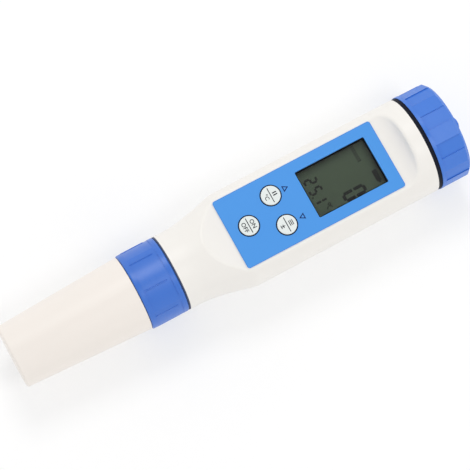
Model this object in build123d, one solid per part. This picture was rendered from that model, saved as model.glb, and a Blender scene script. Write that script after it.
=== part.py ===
from build123d import *
from math import cos, pi, radians, sin, sqrt, tan
import os

# Lengths along the pen, from the probe cap's tip to the lanyard lug
PROBE_CAP_LENGTH = 50.0
PROBE_CAP_GAP = 0.2
COLLAR_LENGTH = 15.2
NECK_SEAL_WIDTH = 0.6
NECK_LENGTH = 4.0
FLARE_LENGTH = 22.6
BODY_LENGTH = 76.25
BATTERY_SEAL_WIDTH = 1.65
BATTERY_CAP_LENGTH = 12.5
LUG_HEIGHT = 5.0

# Diameters that the rest is sized round
PROBE_CAP_TIP_OD = 24.6
SEAT_OD = 24.6
BODY_OD = 38.0

# Clearances
RUNNING_FIT = 0.05
THREAD_FIT = 0.08
THREAD_DEPTH = 0.5
SEAT_GAP = 0.1
LOOSE_GAP = 0.3

# Probe cap
PROBE_CAP_WALL = 2.0
PROBE_CAP_MOUTH_WALL = 2.25
PROBE_CAP_SEAT_DEPTH = 9.4
PROBE_CAP_EDGE = 1.0

# Electrode body
BARREL_TIP_OD = 18.4
BARREL_ROOT_OD = 20.8
BARREL_SETBACK = 16.0
BARREL_SHOULDER = 1.0
FLANGE_STEP = 1.2
FLANGE_THICKNESS = 3.0
PLUG_LENGTH = 6.6
CHAMBER_OD = 14.8
CHAMBER_FRONT_WALL = 4.0
CHAMBER_REAR_WALL = 3.0

# Sensing elements in the electrode body
GUARD_LENGTH = 6.6
GUARD_WALL = 0.9
GUARD_RING_LENGTH = 2.2
GUARD_window_width = 8.0
BULB_OD = 6.4
BULB_OFFSET = 2.2
GLASS_WALL = 0.5
STEM_OD = 5.2
STEM_LENGTH = 34.0
SILVER_WIRE_OD = 0.8
JUNCTION_OD = 2.2
JUNCTION_PLACE = (5.2, 0.4)
TEMPERATURE_PROBE_OD = 2.5
TEMPERATURE_PROBE_REACH = 5.0
TEMPERATURE_PROBE_PLACE = (0.0, -5.0)
CONDUCTIVITY_PIN_OD = 1.4
CONDUCTIVITY_PIN_REACH = 4.2
CONDUCTIVITY_PIN_PLACES = ((-3.9, -3.2), (3.9, -3.2))
ELEMENT_TAIL = 10.0

# O-rings
O_RING_SECTION = 1.6
O_RING_PINCH = 0.1

# Plug-in connector
PIN_OD = 1.0
PIN_COUNT = 5
PIN_PHASE = 90.0
PIN_CIRCLE_DIAMETER = 13.0
PIN_REACH = 6.4
SOCKET_LENGTH = 9.0
SOCKET_LIP = 1.2
SOCKET_LIP_DEPTH = 1.4
SOCKET_LIP_GAP = 0.4
CONNECTOR_BOARD_GAP = 0.8

# Electrode collar
COLLAR_LIP = 2.2
COLLAR_EDGE = 0.7
COLLAR_RIM = 2.2
COLLAR_FLUTES = 8
COLLAR_FLUTE_DEPTH = 0.25
COLLAR_FLUTE_PHASE = 5.0
COLLAR_WALL = 1.12
SPIGOT_SETBACK = 0.2
GASKET_THICKNESS = 1.0

# Housing
WALL = 3.6
FACE_WALL = 2.0
NOSE_WALL = 2.0
FACE_CUT = 7.3
FACE_EDGE = 1.5
RAMP_ANGLE = 24.0
RAMP_BEND = 2.0
COVE_RADIUS = 6.65
RING_LENGTH = 5.9
FLARE_MIDDLE = (0.5, 0.37)
FLARE_SHOULDER = (0.84, 0.84)
RAIL_THICKNESS = 1.0
RAIL_REACH = 4.2
SCREW_BOSS_OD = 4.6
SCREW_BOSS_LENGTH = 10.0
REAR_SPIGOT_WALL = 1.6
REAR_SPIGOT_LENGTH = 8.5

# Face overlay, window and buttons
OVERLAY_LEAD = 2.7
OVERLAY_SIDE_MARGIN = 0.97
OVERLAY_THICKNESS = 0.3
OVERLAY_CORNER = 1.0
OVERLAY_MARGIN = 0.2
FLAT_LEAD = 0.6
WINDOW_LEAD = 11.85
WINDOW_MARGIN = 4.9
WINDOW_SIDE_MARGIN = 4.4
WINDOW_CORNER = 0.5
PANE_THICKNESS = 1.2
PANE_LEDGE = 1.0
BUTTON_OD = 7.3
BUTTON_PROUD = 0.4
BUTTON_EDGE = 0.3
BUTTON_SEAL_WIDTH = 0.4
BUTTON_FLANGE_STEP = 0.4
BUTTON_FLANGE_THICKNESS = 0.8
BUTTON_TRAVEL = 0.5
BUTTON_SIDE_MARGIN = 7.8
POWER_BUTTON_INSET = 7.9
SIDE_BUTTON_INSET = 20.35

# Electronics
BOARD_LEAD = 5.5
BOARD_SIDE_GAP = 1.1
BOARD_THICKNESS = 1.6
BOARD_DROP = 4.6
SWITCH_SIDE = 6.0
SWITCH_PLUNGER_OD = 3.2
SWITCH_BODY_SHARE = 0.75
DISPLAY_GLASS_END = 1.65
DISPLAY_GLASS_SIDE = 0.9
DISPLAY_GLASS_THICKNESS = 2.1
DISPLAY_GLASS_LEDGE = 1.2
DISPLAY_FRAME_WALL = 0.9
DISPLAY_GASKET_WIDTH = 0.45
STRIP_WIDTH = 1.6
CHIP_SIDE = 10.0
CHIP_THICKNESS = 1.4
RADIO_LENGTH = 14.0
RADIO_WIDTH = 12.0
RADIO_THICKNESS = 2.0
FLEX_WIDTH = 12.0
FLEX_THICKNESS = 0.3
FLEX_OVERLAP = 3.5
FLEX_SAG = 4.0
FLEX_BEND = 1.5

# Battery compartment
CELL_OD = 11.6
CELL_THICKNESS = 5.4
CELL_COUNT = 4
CELL_EDGE = 0.4
CARRIER_FLANGE = 2.4
CARRIER_WALL = 1.65
CARRIER_END_WALL = 1.4
CARRIER_FIN = 1.6
CONTACT_THICKNESS = 0.4
CONTACT_WIDTH = 4.0
CONTACT_OD = 9.2
SPRING_ROOM = 1.2
SCREW_OD = 2.0
SCREW_HEAD_OD = 3.8
SCREW_HEAD_HEIGHT = 1.4
SCREW_ANGLE = 27.0

# Battery cap
CAP_STEP = 0.2
CAP_END_WALL = 1.8
CAP_BAND = 1.45
CAP_FACETS = 20
CAP_FACET_PHASE = 3.4
CAP_RECESS_DEPTH = 0.35
CAP_END_CHAMFER = 1.4
LUG_WIDTH = 9.6
LUG_THICKNESS = 3.5
LUG_EDGE = 0.5
LUG_RIM = 1.4
LANYARD_HOLE = 2.6

# Stations along the pen
x_mouth = PROBE_CAP_LENGTH
x_collar = x_mouth + PROBE_CAP_GAP
x_collar_rear = x_collar + COLLAR_LENGTH
x_shoulder = x_collar_rear + NECK_SEAL_WIDTH
x_flare = x_shoulder + NECK_LENGTH
x_body = x_flare + FLARE_LENGTH
x_body_end = x_body + BODY_LENGTH
x_spigot_end = x_body_end + REAR_SPIGOT_LENGTH
x_battery_cap = x_body_end + BATTERY_SEAL_WIDTH
x_cap_end = x_battery_cap + BATTERY_CAP_LENGTH
x_lug_end = x_cap_end + LUG_HEIGHT

# Stations of the electrode and its connector
x_flange = x_collar + COLLAR_LIP
x_plug = x_flange + FLANGE_THICKNESS
x_spigot = x_plug + GASKET_THICKNESS
x_plug_end = x_plug + PLUG_LENGTH
x_lip = x_plug_end + SOCKET_LIP_GAP
x_socket = x_lip + SOCKET_LIP
x_socket_end = x_socket + SOCKET_LENGTH
x_connector_board_end = x_socket_end + BOARD_THICKNESS
x_seat = x_mouth - PROBE_CAP_SEAT_DEPTH
x_barrel_root = x_seat + BARREL_SHOULDER
x_chamber = BARREL_SETBACK + CHAMBER_FRONT_WALL
x_chamber_end = x_plug_end - CHAMBER_REAR_WALL
x_cap_ring = (x_barrel_root + x_flange) / 2
x_plug_ring = (x_spigot + x_plug_end) / 2

# Stations of the face
x_flat_end = x_body_end - RING_LENGTH - COVE_RADIUS
x_overlay_end = x_flat_end - OVERLAY_MARGIN
x_overlay = x_body - OVERLAY_LEAD
x_flat = x_overlay - FLAT_LEAD
x_power = x_overlay + POWER_BUTTON_INSET
x_side = x_overlay + SIDE_BUTTON_INSET
x_window_start = x_side + WINDOW_LEAD
x_window_end = x_overlay_end - WINDOW_MARGIN
x_window = (x_window_start + x_window_end) / 2
window_length = x_window_end - x_window_start

# Heights above the pen's axis
z_face = BODY_OD / 2 - FACE_CUT
z_overlay = z_face + OVERLAY_THICKNESS
z_inside = z_face - FACE_WALL
z_board = z_inside - BOARD_DROP
z_board_under = z_board - BOARD_THICKNESS
z_button_under = z_inside - BUTTON_FLANGE_THICKNESS
z_switch = z_button_under - BUTTON_TRAVEL - SEAT_GAP
z_glass = z_inside - SEAT_GAP - DISPLAY_GLASS_THICKNESS

# Stations of the battery compartment
x_cap_floor = x_cap_end - CAP_END_WALL
x_carrier_end = x_cap_floor - LOOSE_GAP
x_carrier_wall = x_carrier_end - CARRIER_END_WALL
x_cells_end = x_carrier_wall - SPRING_ROOM
x_cells = x_cells_end - CELL_COUNT * CELL_THICKNESS
x_front_contact = x_cells - CONTACT_THICKNESS
x_carrier = x_front_contact - CARRIER_FLANGE
x_board_end = x_carrier - SEAT_GAP
x_board = x_power - BOARD_LEAD

# Radii from the seat outwards, at the sensing end
seat_radius = SEAT_OD / 2
mouth_radius = seat_radius + SEAT_GAP + PROBE_CAP_MOUTH_WALL
flange_radius = seat_radius + FLANGE_STEP
spigot_radius = flange_radius - SPIGOT_SETBACK
nose_bore_radius = spigot_radius - NOSE_WALL
plug_radius = nose_bore_radius - SEAT_GAP
collar_bore_radius = spigot_radius + THREAD_DEPTH + THREAD_FIT
collar_radius = collar_bore_radius + COLLAR_WALL

# Radii of the body and the battery end
body_radius = BODY_OD / 2
bore_radius = body_radius - WALL
rear_spigot_radius = bore_radius + REAR_SPIGOT_WALL
cap_bore_radius = rear_spigot_radius + THREAD_DEPTH + THREAD_FIT
cap_radius = body_radius + CAP_STEP
carrier_radius = bore_radius - LOOSE_GAP
button_hole_radius = BUTTON_OD / 2 + RUNNING_FIT + BUTTON_SEAL_WIDTH
trough_radius = CELL_OD / 2 + SEAT_GAP + CARRIER_WALL
screw_circle_radius = bore_radius - SCREW_HEAD_OD / 2 - SEAT_GAP
z_return = -trough_radius - RUNNING_FIT

# Widths across the face
flat_width = 2 * sqrt(body_radius ** 2 - z_face ** 2)
overlay_width = flat_width - 2 * OVERLAY_SIDE_MARGIN
window_width = overlay_width - 2 * WINDOW_SIDE_MARGIN
button_spread = overlay_width / 2 - BUTTON_SIDE_MARGIN
board_width = 2 * (sqrt(bore_radius ** 2 - z_board ** 2) - BOARD_SIDE_GAP)
display_glass_length = window_length + 2 * DISPLAY_GLASS_END
display_glass_width = window_width + 2 * DISPLAY_GLASS_SIDE

# The row's origin is under the middle of the pen, on the surface that it lies on
row_origin = Pos(-x_lug_end / 2, 0, cap_radius)

BUTTON_PLACES = {
    "power_button": (x_power, 0.0),
    "up_button": (x_side, button_spread),
    "down_button": (x_side, -button_spread),
}


def upright(outline):
    """Face from a closed outline of (station, height) points, standing along the pen."""
    return Plane.XZ * make_face(outline)


def turned(corners):
    """Solid of revolution about the pen's axis from (station, radius) corners."""
    return revolve(upright(Polyline(*corners, close=True)), Axis.X)


def tube(x_start, x_end, outer, inner):
    """Plain ring about the pen's axis."""
    return turned([(x_start, inner), (x_end, inner), (x_end, outer), (x_start, outer)])


def rod(x_start, x_end, radius, y=0.0, z=0.0):
    """Round bar along the pen at a height and side offset from its axis."""
    bar = Cylinder(radius, x_end - x_start, align=(Align.CENTER, Align.CENTER, Align.MIN))
    return Pos(x_start, y, z) * Rot(0, 90, 0) * bar


def block(x_start, x_end, width, z_low, z_high, y=0.0):
    """Box between two stations and two heights, centred across the pen."""
    box = Box(x_end - x_start, width, z_high - z_low, align=(Align.MIN, Align.CENTER, Align.MIN))
    return Pos(x_start, y, z_low) * box


def post(x, y, z_low, z_high, radius):
    """Upright round bar."""
    bar = Cylinder(radius, z_high - z_low, align=(Align.CENTER, Align.CENTER, Align.MIN))
    return Pos(x, y, z_low) * bar


def slab(x_middle, length, width, z_low, z_high, corner):
    """Flat plate with rounded corners seen from above."""
    outline = RectangleRounded(length, width, corner)
    return extrude(Pos(x_middle, 0, z_low) * outline, z_high - z_low)


def o_ring(x_middle, inner):
    """Round-section ring about the pen's axis, sitting on a groove floor."""
    section = Circle(O_RING_SECTION / 2)
    return revolve(Plane.XZ * Pos(x_middle, inner + O_RING_SECTION / 2) * section, Axis.X)


def o_ring_groove(x_middle, outer):
    """Ring to cut from a cylinder so that an O-ring stands proud by its pinch."""
    floor = groove_floor(outer)
    half = O_RING_SECTION / 2 + SEAT_GAP
    return tube(x_middle - half, x_middle + half, outer + LOOSE_GAP, floor)


def groove_floor(outer):
    """Radius of the groove floor below a cylinder of a given radius."""
    return outer + SEAT_GAP - O_RING_PINCH / 2 - O_RING_SECTION


def probe_cap():
    """Tapered storage cap with a straight seat in its mouth."""
    tip = PROBE_CAP_TIP_OD / 2
    seat = seat_radius + SEAT_GAP
    slope = (mouth_radius - tip) / PROBE_CAP_LENGTH
    body = turned([
        (0, 0),
        (0, tip),
        (x_mouth, mouth_radius),
        (x_mouth, seat),
        (x_seat, seat),
        (x_seat, tip + slope * x_seat - PROBE_CAP_WALL),
        (PROBE_CAP_WALL, tip + slope * PROBE_CAP_WALL - PROBE_CAP_WALL),
        (PROBE_CAP_WALL, 0),
    ])
    tip_edge = body.edges().filter_by(GeomType.CIRCLE).sort_by(Axis.X).group_by(Axis.X)[0]
    return fillet(tip_edge, PROBE_CAP_EDGE)


def electrode_body():
    """Barrel, cap seat, clamping flange and rear plug round a hollow chamber."""
    body = turned([
        (BARREL_SETBACK, 0),
        (BARREL_SETBACK, BARREL_TIP_OD / 2),
        (x_seat, BARREL_ROOT_OD / 2),
        (x_barrel_root, seat_radius),
        (x_flange, seat_radius),
        (x_flange, flange_radius),
        (x_plug, flange_radius),
        (x_plug, plug_radius),
        (x_plug_end, plug_radius),
        (x_plug_end, 0),
    ])
    body -= rod(x_chamber, x_chamber_end, CHAMBER_OD / 2)
    body -= o_ring_groove(x_cap_ring, seat_radius)
    body -= o_ring_groove(x_plug_ring, plug_radius)
    for radius, (y, z) in element_bores():
        body -= rod(BARREL_SETBACK, x_chamber, radius + RUNNING_FIT, y, z)
    for y, z in pin_places():
        body -= rod(x_chamber_end, x_plug_end, PIN_OD / 2 + RUNNING_FIT, y, z)
    return body


def element_bores():
    """Radius and place of each sensing element in the barrel's front wall."""
    bores = [
        (STEM_OD / 2, (0.0, BULB_OFFSET)),
        (JUNCTION_OD / 2, JUNCTION_PLACE),
        (TEMPERATURE_PROBE_OD / 2, TEMPERATURE_PROBE_PLACE),
    ]
    return bores + [(CONDUCTIVITY_PIN_OD / 2, place) for place in CONDUCTIVITY_PIN_PLACES]


def pin_places():
    """Side and height of each connector pin on its circle."""
    circle = PolarLocations(PIN_CIRCLE_DIAMETER / 2, PIN_COUNT, start_angle=PIN_PHASE)
    return [(spot.position.X, spot.position.Y) for spot in circle]


def bulb_guard():
    """Crown of four prongs that stands round the glass bulb."""
    outer = BARREL_TIP_OD / 2
    x_tip = BARREL_SETBACK - GUARD_LENGTH
    guard = tube(x_tip, BARREL_SETBACK, outer, outer - GUARD_WALL)
    window_end = BARREL_SETBACK - GUARD_RING_LENGTH
    cross = block(x_tip, window_end, GUARD_window_width, -outer, outer)
    return guard - Rot(45, 0, 0) * cross - Rot(-45, 0, 0) * cross


def ph_glass():
    """Thin glass bulb blown on the end of a hollow glass stem."""
    x_bulb = BARREL_SETBACK - GUARD_LENGTH + GLASS_WALL + BULB_OD / 2
    x_end = BARREL_SETBACK + STEM_LENGTH
    centre = Pos(x_bulb, 0, BULB_OFFSET)
    outside = centre * Sphere(BULB_OD / 2) + rod(x_bulb, x_end, STEM_OD / 2, 0, BULB_OFFSET)
    inside = centre * Sphere(BULB_OD / 2 - GLASS_WALL)
    return outside - inside - rod(x_bulb, x_end, STEM_OD / 2 - GLASS_WALL, 0, BULB_OFFSET)


def silver_wire():
    """Inner reference wire from the middle of the bulb to the rear wall."""
    x_start = BARREL_SETBACK - GUARD_LENGTH + BULB_OD / 2
    return rod(x_start, x_chamber_end, SILVER_WIRE_OD / 2, 0, BULB_OFFSET)


def reference_junction():
    """Porous plug that lets the reference fill touch the sample."""
    y, z = JUNCTION_PLACE
    return rod(BARREL_SETBACK, x_chamber + GLASS_WALL, JUNCTION_OD / 2, y, z)


def temperature_probe():
    """Steel tube with a round nose."""
    y, z = TEMPERATURE_PROBE_PLACE
    radius = TEMPERATURE_PROBE_OD / 2
    x_nose = BARREL_SETBACK - TEMPERATURE_PROBE_REACH + radius
    return rod(x_nose, x_chamber + ELEMENT_TAIL, radius, y, z) + Pos(x_nose, y, z) * Sphere(radius)


def conductivity_pins():
    """Pair of metal pins that carry the conductivity current."""
    x_tip = BARREL_SETBACK - CONDUCTIVITY_PIN_REACH
    x_end = x_chamber + ELEMENT_TAIL
    return [rod(x_tip, x_end, CONDUCTIVITY_PIN_OD / 2, y, z) for y, z in CONDUCTIVITY_PIN_PLACES]


def connector_pins():
    """Ring of contact pins through the electrode's rear wall."""
    x_tip = x_socket + PIN_REACH
    return [rod(x_chamber_end, x_tip, PIN_OD / 2, y, z) for y, z in pin_places()]


def cap_o_ring():
    """Seal between the probe cap and the electrode seat."""
    return o_ring(x_cap_ring, groove_floor(seat_radius))


def plug_o_ring():
    """Seal between the electrode plug and the housing's nose."""
    return o_ring(x_plug_ring, groove_floor(plug_radius))


def collar_gasket():
    """Flat ring pinched between the electrode flange and the nose."""
    return tube(x_plug, x_spigot, flange_radius, nose_bore_radius)


def flute_section():
    """Eight shallow arcs that meet in fine lines on the collar's circle."""
    cusp = collar_radius
    sector = radians(180 / COLLAR_FLUTES)
    sag = cusp - COLLAR_FLUTE_DEPTH - cusp * cos(sector)
    half_chord = cusp * cos(pi / 2 - sector)
    radius = (half_chord ** 2 + sag ** 2) / (2 * sag)
    offset = radius - (cusp - COLLAR_FLUTE_DEPTH)
    section = Circle(cusp)
    for index in range(COLLAR_FLUTES):
        angle = COLLAR_FLUTE_PHASE + (index + 0.5) * 360 / COLLAR_FLUTES
        section &= Rot(0, 0, angle) * Pos(-offset, 0) * Circle(radius)
    return section


def electrode_collar():
    """Union nut: fluted outside, inner lip in front, threaded bore behind."""
    body = tube(x_collar, x_collar_rear, collar_radius, seat_radius + SEAT_GAP)
    rims = [edge for edge in body.edges().filter_by(GeomType.CIRCLE) if edge.radius > collar_bore_radius]
    body = fillet(rims, COLLAR_EDGE)
    body -= rod(x_flange, x_collar_rear, collar_bore_radius)
    x_start = x_collar + COLLAR_RIM
    x_end = x_collar_rear - COLLAR_RIM
    blank = rod(x_start, x_end, collar_radius + COLLAR_EDGE)
    fluted = extrude(Plane.YZ.offset(x_start) * flute_section(), x_end - x_start)
    return body - (blank - fluted)


def neck_seal():
    """Black ring in the seam between collar and housing."""
    return tube(x_collar_rear, x_shoulder, collar_radius - O_RING_PINCH, spigot_radius + SEAT_GAP)


def recess_cutter(deeper=0.0):
    """Side profile above the face: ramp, bend, flat and cove, pushed down by a wall."""
    slope = radians(RAMP_ANGLE)
    z_flat = z_face - deeper
    z_top = BODY_OD
    bend_radius = RAMP_BEND + deeper
    bend_length = bend_radius * tan(slope / 2)
    x_corner = x_flat - deeper * tan(slope / 2)
    x_bend = x_corner + bend_length
    x_ramp = x_corner - (z_top - z_flat) / tan(slope)
    ramp_foot = (x_corner - bend_length * cos(slope), z_flat + bend_length * sin(slope))
    radius = COVE_RADIUS + deeper
    x_wall = x_flat_end + radius
    z_wall = z_flat + radius
    lines = [
        Line((x_flat_end, z_flat), (x_bend, z_flat)),
        CenterArc((x_bend, z_flat + bend_radius), bend_radius, -90, -RAMP_ANGLE),
        Polyline(ramp_foot, (x_ramp, z_top), (x_wall, z_top), (x_wall, z_wall)),
        CenterArc((x_flat_end, z_wall), radius, -90, 90),
    ]
    return extrude(upright(lines), BODY_OD, both=True)


def face_rims(form):
    """Edges where the cut face meets the turned outside."""
    rims = []
    for edge in form.edges():
        span = edge.bounding_box()
        above = span.min.Z > z_face - RUNNING_FIT
        crosswise = edge.geom_type == GeomType.LINE and span.size.X < RUNNING_FIT
        seam = abs(edge.center().Y) < RUNNING_FIT
        if above and not crosswise and not seam:
            rims.append(edge)
    return rims


def flare_line(shrink=0.0):
    """Outside curve of the flare, from the neck to the body, moved in by a wall."""
    rise = body_radius - collar_radius
    start = collar_radius - shrink
    places = [(0, 0), FLARE_MIDDLE, FLARE_SHOULDER, (1, 1)]
    points = [(x_flare + FLARE_LENGTH * a, start + rise * b) for a, b in places]
    return Spline(*points, tangents=[(1, 0), (1, 0)])


def housing_outside():
    """Nose spigot, neck, flare and body as one turned form with the face cut in."""
    flare = flare_line()
    front = Polyline(
        (x_spigot, 0),
        (x_spigot, spigot_radius),
        (x_shoulder, spigot_radius),
        (x_shoulder, collar_radius),
        (x_flare, collar_radius),
    )
    rear = Polyline(
        (x_body, body_radius),
        (x_body_end, body_radius),
        (x_body_end, rear_spigot_radius),
        (x_spigot_end, rear_spigot_radius),
        (x_spigot_end, 0),
        (x_spigot, 0),
    )
    form = revolve(upright([front, flare, rear]), Axis.X) - recess_cutter()
    return fillet(face_rims(form), FACE_EDGE)


def housing_inside():
    """Space inside the housing, one wall within the flare, body and face."""
    flare = flare_line(WALL)
    front = Polyline((x_spigot_end, 0), (x_flare, 0), (x_flare, collar_radius - WALL))
    rear = Polyline((x_body, bore_radius), (x_spigot_end, bore_radius), (x_spigot_end, 0))
    space = revolve(upright([front, flare, rear]), Axis.X)
    space -= rod(x_spigot, x_socket_end, body_radius)
    return space - recess_cutter(FACE_WALL)


def board_rails():
    """Rails on both walls that the circuit board slides between."""
    rails = []
    z_low = z_board_under - RAIL_THICKNESS
    z_high = z_board + RUNNING_FIT + RAIL_THICKNESS
    inner = board_width / 2 - RAIL_THICKNESS
    for side in (-1, 1):
        rail = block(x_board, x_carrier, RAIL_REACH, z_low, z_high, side * (inner + RAIL_REACH / 2))
        rails.append(rail)
    slot = block(x_board, x_carrier, board_width + 2 * SEAT_GAP, z_board_under, z_board + RUNNING_FIT)
    inside = rod(x_board, x_carrier, bore_radius + SEAT_GAP)
    return [(rail & inside) - slot for rail in rails]


def screw_places():
    """Side and height of the two screws that hold the battery carrier."""
    height = -screw_circle_radius * cos(radians(90 - SCREW_ANGLE))
    side = screw_circle_radius * cos(radians(SCREW_ANGLE))
    return [(-side, height), (side, height)]


def screw_bosses():
    """Bosses on the bore's wall with pilot holes for the carrier screws."""
    x_start = x_carrier - SCREW_BOSS_LENGTH
    limit = rod(x_start, x_carrier, bore_radius + SEAT_GAP)
    bosses = []
    for y, z in screw_places():
        boss = rod(x_start, x_carrier, SCREW_BOSS_OD / 2, y, z) & limit
        bosses.append(boss)
    return bosses


def housing():
    """One moulded tube: threaded nose, flared grip, cut-away face, open rear bore."""
    body = housing_outside() - housing_inside()
    body -= rod(x_spigot, x_lip, nose_bore_radius)
    body -= rod(x_lip, x_socket, nose_bore_radius - SOCKET_LIP_DEPTH)
    body -= rod(x_socket, x_socket_end, nose_bore_radius)
    for piece in board_rails() + screw_bosses():
        body += piece
    for y, z in screw_places():
        body -= rod(x_carrier - SCREW_BOSS_LENGTH + SEAT_GAP, x_carrier, SCREW_OD / 2 + RUNNING_FIT / 2, y, z)
    body -= pane(RUNNING_FIT, z_face + LOOSE_GAP)
    body -= slab(x_window, window_length, window_width, z_inside - LOOSE_GAP, z_face, WINDOW_CORNER)
    for x, y in BUTTON_PLACES.values():
        body -= post(x, y, z_inside - LOOSE_GAP, z_face + LOOSE_GAP, button_hole_radius)
    return body


def pane(clearance=0.0, top=z_face):
    """Window pane, or the rebate it drops into."""
    length = window_length + 2 * (PANE_LEDGE + clearance)
    width = window_width + 2 * (PANE_LEDGE + clearance)
    corner = WINDOW_CORNER + PANE_LEDGE
    return slab(x_window, length, width, z_face - PANE_THICKNESS, top, corner)


def face_overlay():
    """Printed film on the flat with openings for window and buttons."""
    x_middle = (x_overlay + x_overlay_end) / 2
    film = slab(x_middle, x_overlay_end - x_overlay, overlay_width, z_face, z_overlay, OVERLAY_CORNER)
    film -= slab(x_window, window_length, window_width, z_face, z_overlay, WINDOW_CORNER)
    for x, y in BUTTON_PLACES.values():
        film -= post(x, y, z_face, z_overlay, button_hole_radius)
    return film


def button(x, y):
    """Round key with a flange that catches under the face wall."""
    radius = BUTTON_OD / 2
    key = post(x, y, z_inside, z_overlay + BUTTON_PROUD, radius)
    key = fillet(key.edges().group_by(Axis.Z)[-1], BUTTON_EDGE)
    flange = button_hole_radius + BUTTON_FLANGE_STEP
    return key + post(x, y, z_button_under, z_inside, flange)


def button_seals():
    """Dark rubber rings that line the three key holes."""
    outer = button_hole_radius - RUNNING_FIT / 2
    inner = BUTTON_OD / 2 + RUNNING_FIT
    rings = []
    for x, y in BUTTON_PLACES.values():
        ring = post(x, y, z_inside, z_overlay, outer) - post(x, y, z_inside, z_overlay, inner)
        rings.append(ring)
    return rings


def connector_socket():
    """Socket block behind the nose lip with one hole for each pin."""
    block_body = rod(x_socket, x_socket_end, nose_bore_radius - RUNNING_FIT)
    for y, z in pin_places():
        block_body -= rod(x_socket, x_socket + PIN_REACH + SEAT_GAP, PIN_OD / 2 + RUNNING_FIT, y, z)
    return block_body


def connector_board():
    """Round board behind the socket."""
    return rod(x_socket_end, x_connector_board_end, nose_bore_radius - CONNECTOR_BOARD_GAP)


def flex_cable():
    """Flat cable that dips on its way from the connector board to the main board."""
    half = FLEX_THICKNESS / 2
    z_end = z_board_under - half
    middle = (x_connector_board_end + x_board) / 2
    points = [
        (x_connector_board_end, z_end),
        (x_connector_board_end + FLEX_OVERLAP, z_end),
        (middle, z_end - FLEX_SAG),
        (x_board - FLEX_OVERLAP, z_end),
        (x_board + FLEX_OVERLAP, z_end),
    ]
    upper = FilletPolyline(*[(x, z + half) for x, z in points], radius=FLEX_BEND)
    lower = FilletPolyline(*[(x, z - half) for x, z in points], radius=FLEX_BEND)
    ends = [Line(upper @ 0, lower @ 0), Line(upper @ 1, lower @ 1)]
    return extrude(upright([upper, lower] + ends), FLEX_WIDTH / 2, both=True)


def circuit_board():
    """Main board between the rails."""
    return block(x_board, x_board_end, board_width, z_board_under, z_board)


def switches():
    """Three push switches under the keys."""
    z_body = z_board + (z_switch - z_board) * SWITCH_BODY_SHARE
    half = SWITCH_SIDE / 2
    pieces = []
    for x, y in BUTTON_PLACES.values():
        base = block(x - half, x + half, SWITCH_SIDE, z_board, z_body, y)
        pieces.append(base + post(x, y, z_body, z_switch, SWITCH_PLUNGER_OD / 2))
    return pieces


def display_glass():
    """Liquid crystal cell: a lower glass with a contact ledge and an upper glass."""
    half = display_glass_length / 2
    z_joint = z_glass + DISPLAY_GLASS_THICKNESS / 2
    z_top = z_glass + DISPLAY_GLASS_THICKNESS
    lower = block(x_window - half, x_window + half, display_glass_width, z_glass, z_joint)
    half -= DISPLAY_GLASS_LEDGE
    return lower + block(x_window - half, x_window + half, display_glass_width, z_joint, z_top)


def display_frame():
    """Moulded frame round the display glass, standing on the board."""
    inner_length = display_glass_length + 2 * RUNNING_FIT
    inner_width = display_glass_width + 2 * RUNNING_FIT
    half = inner_length / 2
    outer = half + DISPLAY_FRAME_WALL
    z_top = z_glass + DISPLAY_GLASS_THICKNESS
    width = inner_width + 2 * DISPLAY_FRAME_WALL
    frame = block(x_window - outer, x_window + outer, width, z_board, z_top)
    return frame - block(x_window - half, x_window + half, inner_width, z_board, z_top)


def display_gasket():
    """Dark foam frame between the display glass and the window pane."""
    length = window_length - RUNNING_FIT
    width = window_width - RUNNING_FIT
    z_low = z_glass + DISPLAY_GLASS_THICKNESS
    z_high = z_face - PANE_THICKNESS
    frame = slab(x_window, length, width, z_low, z_high, WINDOW_CORNER)
    sight_length = length - 2 * DISPLAY_GASKET_WIDTH
    sight_width = width - 2 * DISPLAY_GASKET_WIDTH
    return frame - slab(x_window, sight_length, sight_width, z_low, z_high, WINDOW_CORNER)


def contact_strips():
    """Elastomer strips that join the display glass to the board."""
    half = window_length / 2
    y = (display_glass_width - STRIP_WIDTH) / 2 - SEAT_GAP
    return [block(x_window - half, x_window + half, STRIP_WIDTH, z_board, z_glass, side * y) for side in (-1, 1)]


def main_chip():
    """Processor under the board."""
    half = CHIP_SIDE / 2
    return block(x_window - half, x_window + half, CHIP_SIDE, z_board_under - CHIP_THICKNESS, z_board_under)


def radio_module():
    """Shielded radio board under the keys."""
    half = RADIO_LENGTH / 2
    z_low = z_board_under - RADIO_THICKNESS
    return block(x_side - half, x_side + half, RADIO_WIDTH, z_low, z_board_under)


def battery_carrier():
    """Trough for the cells between a screwed flange and an end wall."""
    room = rod(x_carrier, x_front_contact, bore_radius - SEAT_GAP) - recess_cutter(FACE_WALL + SEAT_GAP)
    trough = rod(x_front_contact, x_carrier_wall, trough_radius)
    fin_width = 2 * carrier_radius - SEAT_GAP
    trough += block(x_front_contact, x_carrier_wall, fin_width, -CARRIER_FIN, 0)
    channel = CELL_OD / 2 + SEAT_GAP
    trough -= rod(x_front_contact, x_carrier_wall, channel)
    trough -= block(x_front_contact, x_carrier_wall, 2 * trough_radius, 0, trough_radius)
    carrier = room + trough + rod(x_carrier_wall, x_carrier_end, carrier_radius)
    for y, z in screw_places():
        carrier -= rod(x_carrier, x_front_contact, SCREW_OD / 2 + SEAT_GAP, y, z)
    tab = CONTACT_WIDTH + 2 * SEAT_GAP
    z_tab = z_board_under - CONTACT_THICKNESS
    carrier -= block(x_carrier, x_front_contact, tab, z_tab - SEAT_GAP, z_board_under + SEAT_GAP)
    z_strip = z_return - CONTACT_THICKNESS - SEAT_GAP
    carrier -= block(x_carrier, x_front_contact, tab, z_strip, z_return + SEAT_GAP)
    carrier -= block(x_carrier_wall - CONTACT_THICKNESS - SEAT_GAP, x_carrier_wall, tab, z_strip, 0)
    return carrier


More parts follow.
